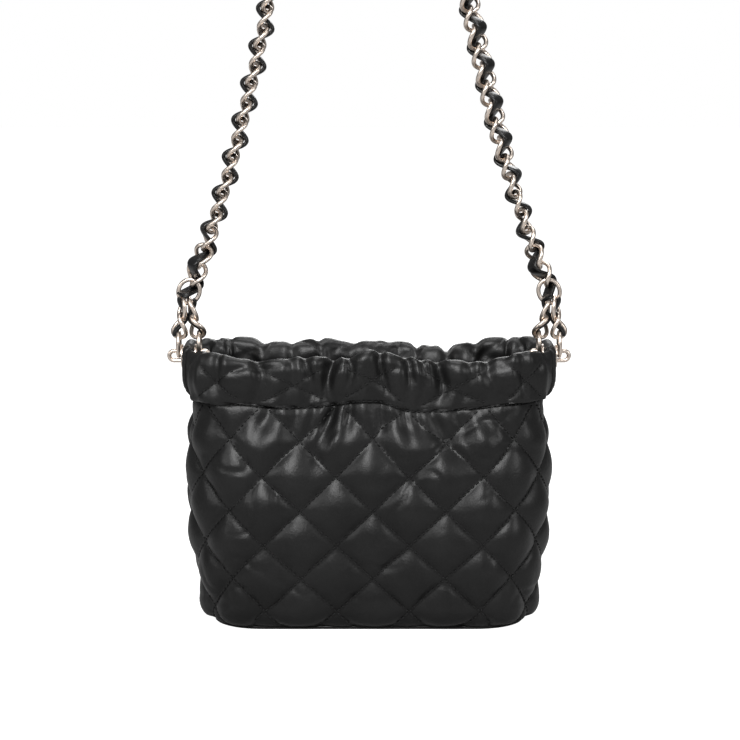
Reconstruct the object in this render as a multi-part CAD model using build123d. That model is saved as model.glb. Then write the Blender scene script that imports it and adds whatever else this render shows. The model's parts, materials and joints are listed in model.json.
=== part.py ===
from build123d import *
import os
from math import asinh, atan, cos, hypot, pi, radians, sin, sinh, sqrt

# Small quilted leather bucket bag with an elasticated mouth and a chain-and-leather shoulder strap.
# Millimetres. Origin: middle of the flat base, on the surface that the bag stands on.
# +X is to the right when the bag is seen from the front, -Y is the front, +Z is up.

# ---- body: horizontal sections (height, half width, half depth, corner radius) ----
BODY = [
    (1.5, 84.5, 35.0, 27.0),
    (6.0, 89.5, 40.0, 30.0),
    (16.0, 92.0, 43.0, 34.0),
    (33.0, 95.3, 45.5, 36.0),
    (80.0, 98.0, 46.0, 38.0),
    (107.0, 96.8, 42.0, 34.0),
    (124.0, 95.2, 34.0, 27.0),
]
LEATHER_T = 1.2
PADDING_T = 3.8
LINING_T = 0.8
WALL_T = LEATHER_T + PADDING_T + LINING_T
BOARD_T = 2.0

# ---- rim tunnel: the same kind of sections, then the insets of its inner face along X and Y ----
# WIDE is the size of the plain boxes that cut the bag into halves and windows: more than its width.
RIM = [
    (124.0, 95.2, 34.0, 27.0, 4.2, 5.8),
    (131.0, 98.5, 36.0, 27.0, 4.2, 9.0),
    (137.0, 100.3, 37.0, 26.0, 4.2, 10.0),
    (150.0, 100.3, 36.5, 26.0, 4.2, 9.5),
    (151.0, 99.3, 35.5, 25.0, 3.2, 8.5),
]
TUNNEL_TOP_Z = 149.8
WIDE = 260.0
ELASTIC = (144.0, 1.5, 20.0)
ELASTIC_Y = 30.2
ELASTIC_Z = 137.0

# ---- side tabs and eyelets ----
TAB_T = 1.2
TAB_DEPTH = 26.0
TAB_FOOT_Z = 128.0
EYELET_Z = 144.5
EYELET_R = 4.2
EYELET_WALL = 0.6
BORE_REACH = 30.0
FLANGE_R = 6.4
FLANGE_T = 0.8
FLANGE_GAP = 0.3

# ---- chain and lace ----
WIRE_D = 2.4
LINK_W = 11.4
LINK_PLAY = 0.45
LINK_TWIST = 50.0
LINK_GAP = 0.25
LINK_SPANS = 4
EYELET_LINK_W = 5.2
LINKS_OVER = 68
LACE_W = 6.5
LACE_T = 1.6
LACE_WAVE = 4.2
LACE_STEPS = 4
LACE_END_GAP = 5.0
END_LACE_WAVE = 2.6
END_LACE_TURN = 78.0

# ---- line of the hanging strap: a catenary on each side, an arc over the shoulder ----
CATENARY_A = 66.93
CATENARY_Z = 150.0
CATENARY_W = 111.5
CATENARY_SLOPE = 1.957
SHOULDER_HALF = 30.0
JUNCTION_Z = 179.8
SPLAY = 1.3
END_TWISTS = [(90.0, 90.0), (15.0, 117.0), (60.0, 90.0)]
FOLD_AFTER_LINK = [0, 6, 15, 24]

# ---- magnetic snap and inner pocket ----
SNAP_Z = 96.0
SNAP_R = 8.0
SNAP_T = 2.4
SNAP_STUD_R = 2.6
SNAP_STUD_T = 1.4
SNAP_PLAY = 0.3
POCKET_W = 116.0
POCKET_FOOT_Z = 36.0
POCKET_TOP_Z = 84.0
POCKET_Y = 38.4
POCKET_T = 0.8
ZIP_Z = 77.0
ZIP_L = 104.0
ZIP_TAPE_H = 7.0
ZIP_TAPE_T = 0.5
TOOTH = (1.2, 1.1, 3.0)
TOOTH_PITCH = 2.0
ZIP_STOP = (1.6, 1.4, 3.0)
ZIP_END = 1.4
WINDOW_PLAY = 0.3
SLIDER = (8.0, 3.4, 6.0)
SLIDER_X = 46.0
SLIDER_GAP = 0.4
CHANNEL = (1.0, 0.4)
BRIDGE = (1.4, 1.8, 3.6)
PULL = (3.6, 1.0, 16.0)
PULL_SLOT = (2.2, 6.4)
PIN_R = 0.5
PIN_EYE_R = 0.75


# ---------------------------------------------------------------- sewn shell

def block(sections, inset_x=0.0, inset_y=None):
    """Closed solid through rounded rectangles; the insets move every section inwards."""
    inset_y = inset_x if inset_y is None else inset_y
    faces = []
    for z, half_w, half_d, corner in sections:
        radius = corner - min(inset_x, inset_y)
        outline = RectangleRounded(2 * (half_w - inset_x), 2 * (half_d - inset_y), radius)
        faces.append(Pos(0, 0, z) * outline)
    return loft(faces, ruled=True)


def layer(outer, inner, sections=BODY):
    """One layer of the wall, between two insets."""
    return block(sections, outer) - block(sections, inner)


def half_space(side):
    """Box that holds the front (-1) or the back (+1) half of the bag."""
    return Pos(0, side * WIDE / 2, WIDE / 2) * Box(WIDE, WIDE, WIDE)


def slab(z, thickness, inset):
    """Flat piece that fills the bag's lowest section, less an inset."""
    half_w, half_d, corner = BODY[0][1:]
    outline = RectangleRounded(2 * (half_w - inset), 2 * (half_d - inset), corner - inset)
    return Pos(0, 0, z) * extrude(outline, thickness)


def rim_inner(extra=0.0):
    """Solid that fills the mouth up to the rim's inner face, less an extra margin."""
    sections = []
    for z, half_w, half_d, corner, inset_x, inset_y in RIM:
        sections.append((z, half_w - inset_x, half_d - inset_y, corner - inset_y))
    return block(sections, extra)


def rim_solid():
    """The rim roll with no tunnel in it."""
    return block([s[:4] for s in RIM]) - rim_inner()


def tunnel():
    """Space inside the rim roll that the elastic runs in, open to the padding below."""
    outer = block([s[:4] for s in RIM], LEATHER_T) - rim_inner(-LEATHER_T)
    below = Pos(0, 0, TUNNEL_TOP_Z - WIDE / 2) * Box(WIDE, WIDE, WIDE)
    return outer & below


def eyelet_bore(side, radius):
    """Cylinder along X through the rim, the tab and the lining of one side."""
    return Pos(side * RIM[2][1], 0, EYELET_Z) * Rot(0, 90, 0) * Cylinder(radius, BORE_REACH)


def rim_faces():
    """X of the tab's outer face and of its inner face beside the eyelet."""
    hem_face, inset_x = RIM[2][1], RIM[2][4]
    return hem_face + TAB_T, hem_face - inset_x - TAB_T


def make_shell():
    """Leather, padding and lining of both halves, the base and its board."""
    leather = layer(0, LEATHER_T)
    padding = layer(LEATHER_T, LEATHER_T + PADDING_T)
    lining = layer(LEATHER_T + PADDING_T, WALL_T)
    hem = rim_solid() - tunnel() - eyelet_bore(1, EYELET_R + EYELET_WALL)
    hem = hem - eyelet_bore(-1, EYELET_R + EYELET_WALL)
    pieces = {}
    for name, side in (("front", -1), ("back", 1)):
        half = half_space(side)
        pieces[name + "_quilted_leather"] = leather & half
        pieces[name + "_padding"] = padding & half
        pieces[name + "_lining"] = lining & half
        pieces[name + "_rim_tunnel"] = hem & half
        pieces[name + "_elastic"] = Pos(0, side * ELASTIC_Y, ELASTIC_Z) * Box(*ELASTIC)
    foot_z = BODY[0][0]
    pieces["base_leather"] = slab(0, foot_z, 0)
    pieces["base_board"] = slab(foot_z, BOARD_T, WALL_T)
    pieces["base_lining"] = slab(foot_z + BOARD_T, LINING_T, WALL_T)
    return pieces


def make_tab(side):
    """Leather patch folded over the rim at one side, bored for the eyelet."""
    grown = []
    for z, half_w, half_d, corner in [s[:4] for s in RIM]:
        lift = TAB_T if z >= RIM[3][0] else 0
        grown.append((z + lift, half_w + TAB_T, half_d + TAB_T, corner + TAB_T))
    solid_rim = block([s[:4] for s in RIM])
    sleeve = block(grown) - (solid_rim - rim_inner())
    top_z = grown[-1][0]
    inside = rim_inner(TAB_T)
    cap = Pos(0, 0, top_z) * Box(2 * rim_faces()[1], WIDE, 2 * (top_z - RIM[-1][0]))
    window = Pos(side * WIDE / 2, 0, TAB_FOOT_Z + WIDE / 2) * Box(WIDE / 2, TAB_DEPTH, WIDE)
    return (sleeve & window) - inside - cap - eyelet_bore(side, EYELET_R + EYELET_WALL)


def ring(outer_r, inner_r, x_low, x_high):
    """Ring along X at the eyelet's height."""
    body = Cylinder(outer_r, x_high - x_low) - Cylinder(inner_r, x_high - x_low)
    return Pos((x_low + x_high) / 2, 0, EYELET_Z) * Rot(0, 90, 0) * body


def make_eyelet(side):
    """Eyelet with its flange on the outer face, and the washer that it is set into."""
    outer_face, inner_face = rim_faces()
    barrel_r = EYELET_R + EYELET_WALL
    barrel = ring(barrel_r, EYELET_R, inner_face - FLANGE_T, outer_face + FLANGE_T)
    eyelet = barrel + ring(FLANGE_R, EYELET_R, outer_face, outer_face + FLANGE_T)
    washer = ring(FLANGE_R, barrel_r, inner_face - FLANGE_T, inner_face)
    if side < 0:
        return eyelet.mirror(Plane.YZ), washer.mirror(Plane.YZ)
    return eyelet, washer


# ---------------------------------------------------------------- strap line

def rise(z):
    """Slope of the catenary at a height."""
    q = sqrt(1 + CATENARY_SLOPE ** 2) + (z - CATENARY_Z) / CATENARY_A
    return sqrt(q * q - 1)


SLOPE_LOW = rise(JUNCTION_Z)
SLOPE_TOP = sinh(asinh(CATENARY_SLOPE) + (CATENARY_W - SHOULDER_HALF) / CATENARY_A)
SIDE_LENGTH = CATENARY_A * (SLOPE_TOP - SLOPE_LOW)
SHOULDER_TILT = atan(1 / SLOPE_TOP)
SHOULDER_R = SHOULDER_HALF / cos(SHOULDER_TILT)
CATENARY_TOP_Z = CATENARY_Z + CATENARY_A * (hypot(1, SLOPE_TOP) - hypot(1, CATENARY_SLOPE))
SHOULDER_Z = CATENARY_TOP_Z - SHOULDER_R * sin(SHOULDER_TILT)
STRAP_LENGTH = 2 * SIDE_LENGTH + SHOULDER_R * (pi - 2 * SHOULDER_TILT)
PITCH = STRAP_LENGTH / LINKS_OVER
LINK_L = PITCH + WIRE_D + LINK_PLAY


def strap_point(s):
    """Point and direction on the strap's line, s millimetres after the right junction."""
    if s > STRAP_LENGTH / 2:
        point, along = strap_point(STRAP_LENGTH - s)
        return Vector(-point.X, 0, point.Z), Vector(along.X, 0, -along.Z)
    if s > SIDE_LENGTH:
        angle = SHOULDER_TILT + (s - SIDE_LENGTH) / SHOULDER_R
        point = Vector(SHOULDER_R * cos(angle), 0, SHOULDER_Z + SHOULDER_R * sin(angle))
        return point, Vector(-sin(angle), 0, cos(angle))
    slope = SLOPE_LOW + s / CATENARY_A
    x = CATENARY_W - CATENARY_A * (asinh(slope) - asinh(CATENARY_SLOPE))
    z = CATENARY_Z + CATENARY_A * (hypot(1, slope) - hypot(1, CATENARY_SLOPE))
    return Vector(x, 0, z), Vector(-1, 0, slope).normalized()


def ease(value):
    """Smooth step from 0 to 1."""
    value = min(max(value, 0.0), 1.0)
    return value * value * (3 - 2 * value)


def strap_turn(s):
    """Angle of the links' width round the strap's line, in degrees from the strap's own plane."""
    turn = -40 - 50 * ease(s / 45) - 40 * ease((s - 40) / 60) + 40 * ease((s - 200) / 140)
    return turn - 50 * ease((s - STRAP_LENGTH + 50) / 45)


def frame_at(point, along):
    """Location whose Z runs along the strap and whose Y is the bag's Y."""
    return Plane(origin=point, x_dir=Vector(0, 1, 0).cross(along), z_dir=along).location


# ---------------------------------------------------------------- chain

def tangent_arcs(start, start_heading, end, end_heading):
    """Two arcs that join two points, smooth with each other and with the headings there."""
    span = end - start
    a = 2 - 2 * start_heading.dot(end_heading)
    b = 2 * span.dot(start_heading + end_heading)
    reach = (sqrt(b * b + 4 * a * span.dot(span)) - b) / (2 * a)
    first = start + start_heading * reach
    second = end - end_heading * reach
    middle = (first + second) * 0.5
    return [
        TangentArc(start, middle, tangent=start_heading),
        TangentArc(middle, end, tangent=second - first),
    ]


def half_link(bottom, top, start):
    """Half of a wire oval whose plane turns from one angle at its foot to another at its top."""
    def centre(t):
        turn = radians((bottom + top) / 2 + (top - bottom) / 2 * sin(t))
        reach = LINK_W / 2 * cos(t)
        return Vector(reach * cos(turn), reach * sin(turn), LINK_L / 2 * sin(t))

    def heading(t):
        step = 1e-4
        return (centre(t + step) - centre(t - step)).normalized()

    arcs = []
    for i in range(LINK_SPANS):
        low, high = start + pi * i / LINK_SPANS, start + pi * (i + 1) / LINK_SPANS
        arcs += tangent_arcs(centre(low), heading(low), centre(high), heading(high))
    section = Plane(origin=centre(start), z_dir=heading(start)) * Circle(WIRE_D / 2)
    return sweep(section, path=Wire(arcs))


def wire_link(bottom, top):
    """One closed wire link."""
    return (half_link(bottom, top, 0) + half_link(bottom, top, pi)).solid()


def eyelet_link(side, x_outer, x_inner):
    """Narrow link that lies in the eyelet and carries both ends of the end loop."""
    length = x_outer - x_inner + 2 * (WIRE_D + LINK_GAP)
    path = SlotOverall(length + EYELET_LINK_W, EYELET_LINK_W)
    middle = Vector(side * (x_outer + x_inner) / 2, 0, EYELET_Z)
    wire = Plane.XZ * path.wire()
    start = wire @ 0
    section = Plane(origin=start, z_dir=wire % 0) * Circle(WIRE_D / 2)
    return Pos(*middle) * sweep(section, path=wire).solid()


def end_strand(x_foot, splay):
    """Foot of the upright lowest link, then the foot, direction and pitch of the two above it."""
    point, along = strap_point(0)
    across = Vector(0, 1, 0).cross(along)
    clearance = WIRE_D + LINK_GAP
    bow = point - along * (LINK_L / 2)
    top = bow + across * splay + along * (clearance + LINK_GAP)
    low_foot = Vector(x_foot, 0, EYELET_Z + EYELET_LINK_W / 2 - clearance)
    foot = low_foot + Vector(0, 0, LINK_L - clearance - LINK_GAP)
    return low_foot, foot, (top - foot).normalized(), (top - foot).length - LINK_L


def strand_links(x_foot, splay):
    """The three links of one strand, from the eyelet to the junction."""
    low_foot, foot, along, pitch = end_strand(x_foot, splay)
    upright = Vector(0, 0, 1)
    places = [frame_at(low_foot + upright * (LINK_L / 2), upright)]
    places += [frame_at(foot + along * (LINK_L / 2 + i * pitch), along) for i in range(2)]
    return [place * wire_link(*turns) for place, turns in zip(places, END_TWISTS)]


def mirrored(shapes):
    """The same pieces on the bag's left side."""
    return [shape.mirror(Plane.YZ) for shape in shapes]


# ---------------------------------------------------------------- lace

def lace(point_at, turn_at, start, end, wave_at):
    """Flat leather lace that weaves from face to face of the links."""
    count = max(2, round((end - start) / PITCH * LACE_STEPS))

    def centre(s):
        point, along = point_at(s)
        across = Vector(0, 1, 0).cross(along)
        turn = radians(turn_at(s))
        face = across * (-sin(turn)) + Vector(0, cos(turn), 0)
        width = across * cos(turn) + Vector(0, sin(turn), 0)
        return point + face * wave_at(s), width

    sections = []
    for i in range(count + 1):
        s = start + (end - start) * i / count
        middle, width = centre(s)
        heading = (centre(s + 0.01)[0] - centre(s - 0.01)[0]).normalized()
        width = (width - heading * width.dot(heading)).normalized()
        plane = Plane(origin=middle, x_dir=width, z_dir=heading)
        sections.append(plane * Rectangle(LACE_W, LACE_T))
    return loft(sections, ruled=True)


def strap_wave(s):
    """The lace's distance from the strap's line: none inside a link, most between two links."""
    return LACE_WAVE * sin(pi * s / PITCH)


def strap_lace(start, end):
    """Lace of the strap itself, between two distances along it."""
    return lace(strap_point, strap_turn, start, end, strap_wave)


def strand_lace(x_foot, splay, sign):
    """Lace of one strand of the end loop, from above its lowest link to the junction."""
    _, foot, along, pitch = end_strand(x_foot, splay)
    first = LINK_L / 2

    def wave(s):
        return sign * END_LACE_WAVE * sin(pi * (s - first) / pitch)

    return lace(
        lambda s: (foot + along * s, along),
        lambda s: END_LACE_TURN,
        first - pitch / 2,
        first + pitch * 1.5,
        wave,
    )


def make_strap():
    """End loops, chain and lace, cut where the strap folds."""
    outer_face, inner_face = rim_faces()
    reach = FLANGE_T + FLANGE_GAP + WIRE_D / 2
    x_outer, x_inner = outer_face + reach, inner_face - reach
    loops = strand_links(x_outer, SPLAY) + strand_links(x_inner, -SPLAY)
    laces = [strand_lace(x_outer, SPLAY, 1), strand_lace(x_inner, -SPLAY, -1)]
    junction = [frame_at(*strap_point(0)) * wire_link(0, 0)]
    pieces = {
        "right_end_loop_chain": loops,
        "left_end_loop_chain": mirrored(loops),
        "right_end_loop_lace": laces,
        "left_end_loop_lace": mirrored(laces),
        "right_junction_link": junction,
        "left_junction_link": mirrored(junction),
        "right_eyelet_link": [eyelet_link(1, x_outer, x_inner)],
        "left_eyelet_link": [eyelet_link(-1, x_outer, x_inner)],
    }
    curb = wire_link(-LINK_TWIST, LINK_TWIST)

    def chain(first, last):
        links = []
        for i in range(first, last + 1):
            turn = Rot(0, 0, strap_turn(i * PITCH))
            links.append(frame_at(*strap_point(i * PITCH)) * turn * curb)
        return links

    names = ["lower", "middle", "upper"]
    for name, before, after in zip(names, FOLD_AFTER_LINK[:-1], FOLD_AFTER_LINK[1:]):
        low, high = before + 1, after
        start = (before + 0.5) * PITCH + LACE_END_GAP
        end = (after + 0.5) * PITCH - LACE_END_GAP
        pieces["right_chain_" + name] = chain(low, high)
        pieces["left_chain_" + name] = chain(LINKS_OVER - high, LINKS_OVER - low)
        pieces["right_lace_" + name] = [strap_lace(start, end)]
        pieces["left_lace_" + name] = [strap_lace(STRAP_LENGTH - end, STRAP_LENGTH - start)]
    last = FOLD_AFTER_LINK[-1]
    start = (last + 0.5) * PITCH + LACE_END_GAP
    pieces["shoulder_chain"] = chain(last + 1, LINKS_OVER - last - 1)
    pieces["shoulder_lace"] = [strap_lace(start, STRAP_LENGTH - start)]
    return {name: Compound(children=shapes) for name, shapes in pieces.items()}


# ---------------------------------------------------------------- inside the bag

def lining_face(z):
    """Half depth of the lining's inner face at a height, and its tilt from upright in degrees."""
    for low, high in zip(BODY[:-1], BODY[1:]):
        if low[0] <= z <= high[0]:
            share = (z - low[0]) / (high[0] - low[0])
            half_d = low[2] + (high[2] - low[2]) * share - WALL_T
            return half_d, atan((high[2] - low[2]) / (high[0] - low[0])) * 180 / pi


def make_snap():
    """Magnetic snap: a studded half on the front lining and a cupped half on the back one."""
    half_d, tilt = lining_face(SNAP_Z)
    pieces = {}
    for name, side in (("front", -1), ("back", 1)):
        inward = Pos(0, side * half_d, SNAP_Z) * Rot(side * (90 - tilt), 0, 0)
        disc = Pos(0, 0, SNAP_T / 2) * Cylinder(SNAP_R, SNAP_T)
        stud = Pos(0, 0, SNAP_T + SNAP_STUD_T / 2) * Cylinder(SNAP_STUD_R, SNAP_STUD_T)
        cup = Pos(0, 0, SNAP_T - SNAP_STUD_T / 2) * Cylinder(SNAP_STUD_R + SNAP_PLAY, SNAP_STUD_T)
        head = disc + stud if side < 0 else disc - cup
        pieces[name + "_snap_half"] = inward * head
    return pieces


def make_zip_slider():
    """Slider that runs along the teeth, and the pull that swings on the slider's bridge."""
    slider_y = POCKET_Y - ZIP_TAPE_T - SLIDER_GAP - SLIDER[1] / 2
    channel = Box(2 * SLIDER[0], CHANNEL[0], TOOTH[2] + 2 * CHANNEL[1])
    slider = Box(*SLIDER) - Pos(0, SLIDER[1] / 2, 0) * channel
    pin_y = -(SLIDER[1] + BRIDGE[1]) / 2
    bridge = Pos(0, pin_y, 0) * Box(*BRIDGE)
    eye = Pos(0, pin_y, 0) * Rot(0, 90, 0) * Cylinder(PIN_EYE_R, SLIDER[0])
    pin = Pos(0, pin_y, 0) * Rot(0, 90, 0) * Cylinder(PIN_R, PULL[0])
    blade = Pos(0, pin_y, -PULL[2] / 2) * Box(*PULL)
    slot = Pos(0, pin_y, 0) * Box(PULL_SLOT[0], SLIDER[1], PULL_SLOT[1])
    place = Pos(SLIDER_X, slider_y, ZIP_Z)
    return place * (slider + bridge - eye), place * ((blade - slot) + pin)


def make_pocket():
    """Zipped pocket on the back lining: panel, tape, teeth, end stops, slider and pull."""
    height = POCKET_TOP_Z - POCKET_FOOT_Z
    panel = Pos(0, POCKET_Y + POCKET_T / 2, POCKET_FOOT_Z + height / 2) * Box(POCKET_W, POCKET_T, height)
    panel = panel - Pos(0, POCKET_Y, ZIP_Z) * Box(ZIP_L, ZIP_TAPE_H, TOOTH[2] + 2 * WINDOW_PLAY)
    tape = Box(ZIP_L + ZIP_TAPE_H, ZIP_TAPE_T, ZIP_TAPE_H) - Box(ZIP_L, ZIP_TAPE_H, TOOTH[2] + WINDOW_PLAY)
    tape = Pos(0, POCKET_Y - ZIP_TAPE_T / 2, ZIP_Z) * tape
    teeth_y = POCKET_Y - TOOTH[1] / 2
    stop_x = ZIP_L / 2 - ZIP_END
    stops = [Pos(x, teeth_y, ZIP_Z) * Box(*ZIP_STOP) for x in (-stop_x, stop_x)]
    count = int((ZIP_L - 2 * ZIP_STOP[0] - 2 * ZIP_END) / TOOTH_PITCH)
    first_x = -(count - 1) / 2 * TOOTH_PITCH
    teeth = [Pos(first_x + i * TOOTH_PITCH, teeth_y, ZIP_Z) * Box(*TOOTH) for i in range(count)]
    slider, pull = make_zip_slider()
    return {
        "pocket_panel": panel,
        "zip_tape": tape,
        "zip_teeth": Compound(children=teeth),
        "zip_end_stops": Compound(children=stops),
        "zip_slider": slider,
        "zip_pull": pull,
    }


def main():
    """Write one STEP file for each sub-part."""
    pieces = make_shell()
    for name, side in (("left", -1), ("right", 1)):
        pieces[name + "_side_tab"] = make_tab(side)
        pieces[name + "_eyelet"], pieces[name + "_eyelet_washer"] = make_eyelet(side)
    pieces.update(make_snap())
    pieces.update(make_pocket())
    pieces.update(make_strap())
    os.makedirs("parts", exist_ok=True)
    for name, shape in pieces.items():
        export_step(shape, f"parts/{name}.step")


main()
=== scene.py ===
import json
import math

import bpy
import numpy as np
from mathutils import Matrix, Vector, noise


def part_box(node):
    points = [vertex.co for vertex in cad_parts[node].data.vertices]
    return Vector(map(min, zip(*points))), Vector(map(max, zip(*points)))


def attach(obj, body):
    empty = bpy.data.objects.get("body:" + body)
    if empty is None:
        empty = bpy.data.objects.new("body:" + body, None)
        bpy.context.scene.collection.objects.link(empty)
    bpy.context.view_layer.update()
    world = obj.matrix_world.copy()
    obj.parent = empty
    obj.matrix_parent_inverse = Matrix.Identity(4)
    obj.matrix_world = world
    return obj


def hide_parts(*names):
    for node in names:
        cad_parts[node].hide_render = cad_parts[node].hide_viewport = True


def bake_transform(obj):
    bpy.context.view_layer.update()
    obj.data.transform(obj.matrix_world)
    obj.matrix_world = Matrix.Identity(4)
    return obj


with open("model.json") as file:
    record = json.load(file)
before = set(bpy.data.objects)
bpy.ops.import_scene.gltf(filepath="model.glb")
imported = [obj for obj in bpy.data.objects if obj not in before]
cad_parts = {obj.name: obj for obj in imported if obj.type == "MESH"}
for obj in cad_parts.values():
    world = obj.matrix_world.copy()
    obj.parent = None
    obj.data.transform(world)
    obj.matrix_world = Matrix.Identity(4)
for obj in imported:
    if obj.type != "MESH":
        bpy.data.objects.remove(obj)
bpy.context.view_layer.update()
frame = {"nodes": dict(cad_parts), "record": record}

# Lengths are in millimetres until a mesh is made; materials, lights and the camera are in metres. u runs
# round the bag from the middle of the front towards +X, measured on the widest section. level is the
# height of a row of leather on the wall, and it goes on growing where the leather rolls over the rim.
MM = 0.001

# ---- body sections: height, half width, half depth, corner radius ----
SECTIONS = np.array([
    (1.5, 84.5, 35.0, 27.0),
    (6.0, 89.5, 40.0, 30.0),
    (16.0, 92.0, 43.0, 34.0),
    (33.0, 95.3, 45.5, 36.0),
    (80.0, 98.0, 46.0, 38.0),
    (107.0, 96.8, 41.5, 34.0),
    (121.0, 95.4, 37.2, 29.0),
])
WIDEST = (98.0, 46.0, 38.0)
RIM_PLAN = (100.3, 37.0, 26.0)
FRONT_HALF = WIDEST[0] - WIDEST[2]
CORNER_ARC = WIDEST[2] * math.pi / 2
QUARTER = FRONT_HALF + CORNER_ARC + WIDEST[1] - WIDEST[2]
ROUND = 4 * QUARTER

# ---- quilting ----
DIAMONDS_ROUND = 13
DIAMOND_W = ROUND / DIAMONDS_ROUND
DIAMOND_H = 36.9
DIAMOND_U, DIAMOND_Z = 2.0, 29.5
LINE_WANDER = 0.022
GROOVE_INSET, INSET_LOSS_AT_SEAM = 2.5, 0.55
PUFF, PUFF_ROUNDNESS, PUFF_VARIES = 4.4, 0.56, 0.22
PUFF_LOSS_AT_SEAM, PUFF_IN_RIM = 0.72, 0.46
RUFFLE, SOFT_WAVE, PUCKER, CREASE, SAG = 0.9, 0.6, 0.12, 0.7, 1.5
RIM_SEAM_GROOVE, SIDE_SEAM_GROOVE = 0.6, 1.3

# ---- inner faces: inset from the sections, lowest and highest edge, rows; the lining's flat length ----
INNER_INSET = 5.0
PADDING_SPAN, PADDING_ROWS = (3.2, 120.5), 30
LINING_SPAN, LINING_ROWS, LINING_LENGTH = (4.2, 116.0), 60, 112.0

# ---- rim roll: distance in from the rim's plan, and height, along its section ----
FOOT_Z, SEAM_Z = 1.8, 121.0
RIM_FRONT = np.array([
    (1.2, 121.0), (1.4, 126.0), (1.2, 132.0), (1.2, 139.0), (3.6, 144.8), (7.5, 144.0),
    (9.8, 138.0), (9.6, 129.0), (8.0, 120.0), (7.0, 112.0),
])
RIM_SIDE = np.array([
    (6.0, 121.0), (2.6, 125.0), (0.4, 130.5), (0.0, 138.0), (0.4, 149.6), (3.8, 149.6),
    (4.2, 142.0), (4.4, 132.0), (5.6, 122.0), (6.4, 112.0),
])
RIM_LEVEL_RISE = 1.65
RIM_BASE_TOP = 146.4

# ---- side tabs: half width, rounding of the corners, share of the half width that is a turned edge ----
SIDE_BAND = (13.0, 34.0)
TAB_HALF, TAB_CORNER, TAB_EDGE = 16.0, 5.0, 0.09
TAB_ROWS, TAB_COLUMNS, TAB_CORNER_ROWS = 40, 33, 5
TAB_LIFT, TAB_T = 0.15, 0.9
TAB_SEWN_COLUMNS, TAB_SEWN_ROWS = (4, -5), range(4, 32, 3)

# ---- elastic: columns left free at each end, rows of the rim that it lies half way between ----
ELASTIC_END, ELASTIC_OUTER_ROW, ELASTIC_INNER_ROW = 51, 12, 40
ELASTIC_T, ELASTIC_H = 0.8, 6.4

# ---- gathers: place along u from the nearest middle, depth, width, lean, reach below the seam ----
# The elastic draws the leather nearer to the middle, so a place is DRAWN times as far out as it was cut.
# lean is a share of FULL_LEAN, in millimetres along u for each one below the seam.
DRAW_PULL, DRAW_WIDTH, DRAW_FROM_Z, DRAWN = 0.16, 84.0, 92.0, 0.86
FULL_LEAN, FOLD_SWAY, FOLD_SINK = 1.6, 1.6, 0.75
RIM_WAVE, RIM_RIPPLE = 1.9, 0.9
FRONT_FOLDS = [
    (-66, 1.6, 3.6, 0.3, 9), (-46, 3.2, 2.6, 0.25, 15), (-34, 2.2, 2.4, 0.1, 10), (-26, 3.4, 2.2, 0.15, 13),
    (-17, 7.0, 2.6, 0.2, 24), (-9, 3.6, 2.2, 0.1, 18), (6, 4.0, 2.3, 0.0, 18), (17, 3.4, 2.4, -0.1, 16),
    (23, 2.2, 1.8, -0.1, 12), (30, 5.2, 2.8, -0.25, 26), (41, 2.4, 2.6, -0.25, 18), (50, 2.8, 2.4, -0.3, 12),
    (66, 1.6, 4.0, -0.2, 9),
]
BACK_FOLDS = [
    (-62, 2.0, 3.2, 0.2, 12), (-45, 4.0, 2.8, 0.2, 18), (-33, 5.8, 2.4, 0.1, 12), (-20, 3.4, 2.2, 0.1, 14),
    (-8, 2.2, 2.6, 0.1, 18), (7, 1.6, 3.0, 0.0, 10), (22, 3.6, 2.4, -0.1, 16), (33, 2.6, 2.2, -0.1, 12),
    (45, 3.8, 2.8, -0.2, 14), (62, 1.8, 3.0, -0.2, 14),
]
# Heights of the rim's top, and how far the seam rises, at places along X from left to right.
FRONT_TOP = [(-100, 151), (-86, 150), (-70, 148.5), (-50, 147), (-28, 148.5), (-10, 148.5), (0, 151),
             (20, 149), (40, 146), (58, 147), (71, 150), (86, 150), (100, 151)]
BACK_TOP = [(-100, 150.5), (-90, 150.5), (-74, 150.5), (-65, 150), (-52, 149), (-39, 148.5), (-27, 150),
            (-14, 148), (0, 149), (12, 148.5), (24, 146.5), (37, 146), (50, 147), (63, 150), (87, 151),
            (100, 151)]
FRONT_SEAM = [(-100, 2.0), (-67, 2.0), (-51, 0.5), (-22, 1.5), (-14, 2.5), (13, 1.5), (20, -1), (37, -2),
              (50, -1), (68, 1.5), (100, 2.0)]
BACK_SEAM = [(-100, 2.0), (-60, 1), (-30, -1), (0, 0.5), (25, -1.5), (60, 1), (100, 2.0)]

# ---- threads: spacing, lengths, heights over the leather and radii ----
STITCH_PITCH, QUILT_STITCH, SEAM_STITCH = 3.0, 1.9, 1.7
POCKET_PITCH, POCKET_STITCH = 3.2, 2.0
QUILT_THREAD_LIFT, SEAM_THREAD_LIFT = 0.4, 0.5
THREAD_R, POCKET_THREAD_R, TAB_THREAD_R = 0.42, 0.25, 0.2

# ---- pocket: half width, lowest and highest edge, face, thickness, hem; the zip and its window ----
POCKET_HALF, POCKET_SPAN, POCKET_Y, POCKET_T, POCKET_HEM = 58.0, (36.0, 84.0), 38.4, 0.8, 1.6
POCKET_COLUMNS, POCKET_ROWS = 117, 49
ZIP_Z, WINDOW_HALF_W, WINDOW_HALF_H = 77.0, 52.0, 2.0

# ---- base: insets from the lowest section's outline, and heights, of each plate's rings ----
BASE_RINGS = [(30, 0.0), (2, 0.0), (0.5, 0.05), (0.0, 0.5), (0.0, 1.4), (0.4, 2.0), (2.0, 2.4), (30, 2.4)]
BASE_LINING_RINGS = [(33, 4.9), (20, 4.7), (12, 4.7), (7.5, 4.4), (7.0, 4.1), (7.5, 3.8), (33, 3.8)]
PLATE_COLUMNS = 240

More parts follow.
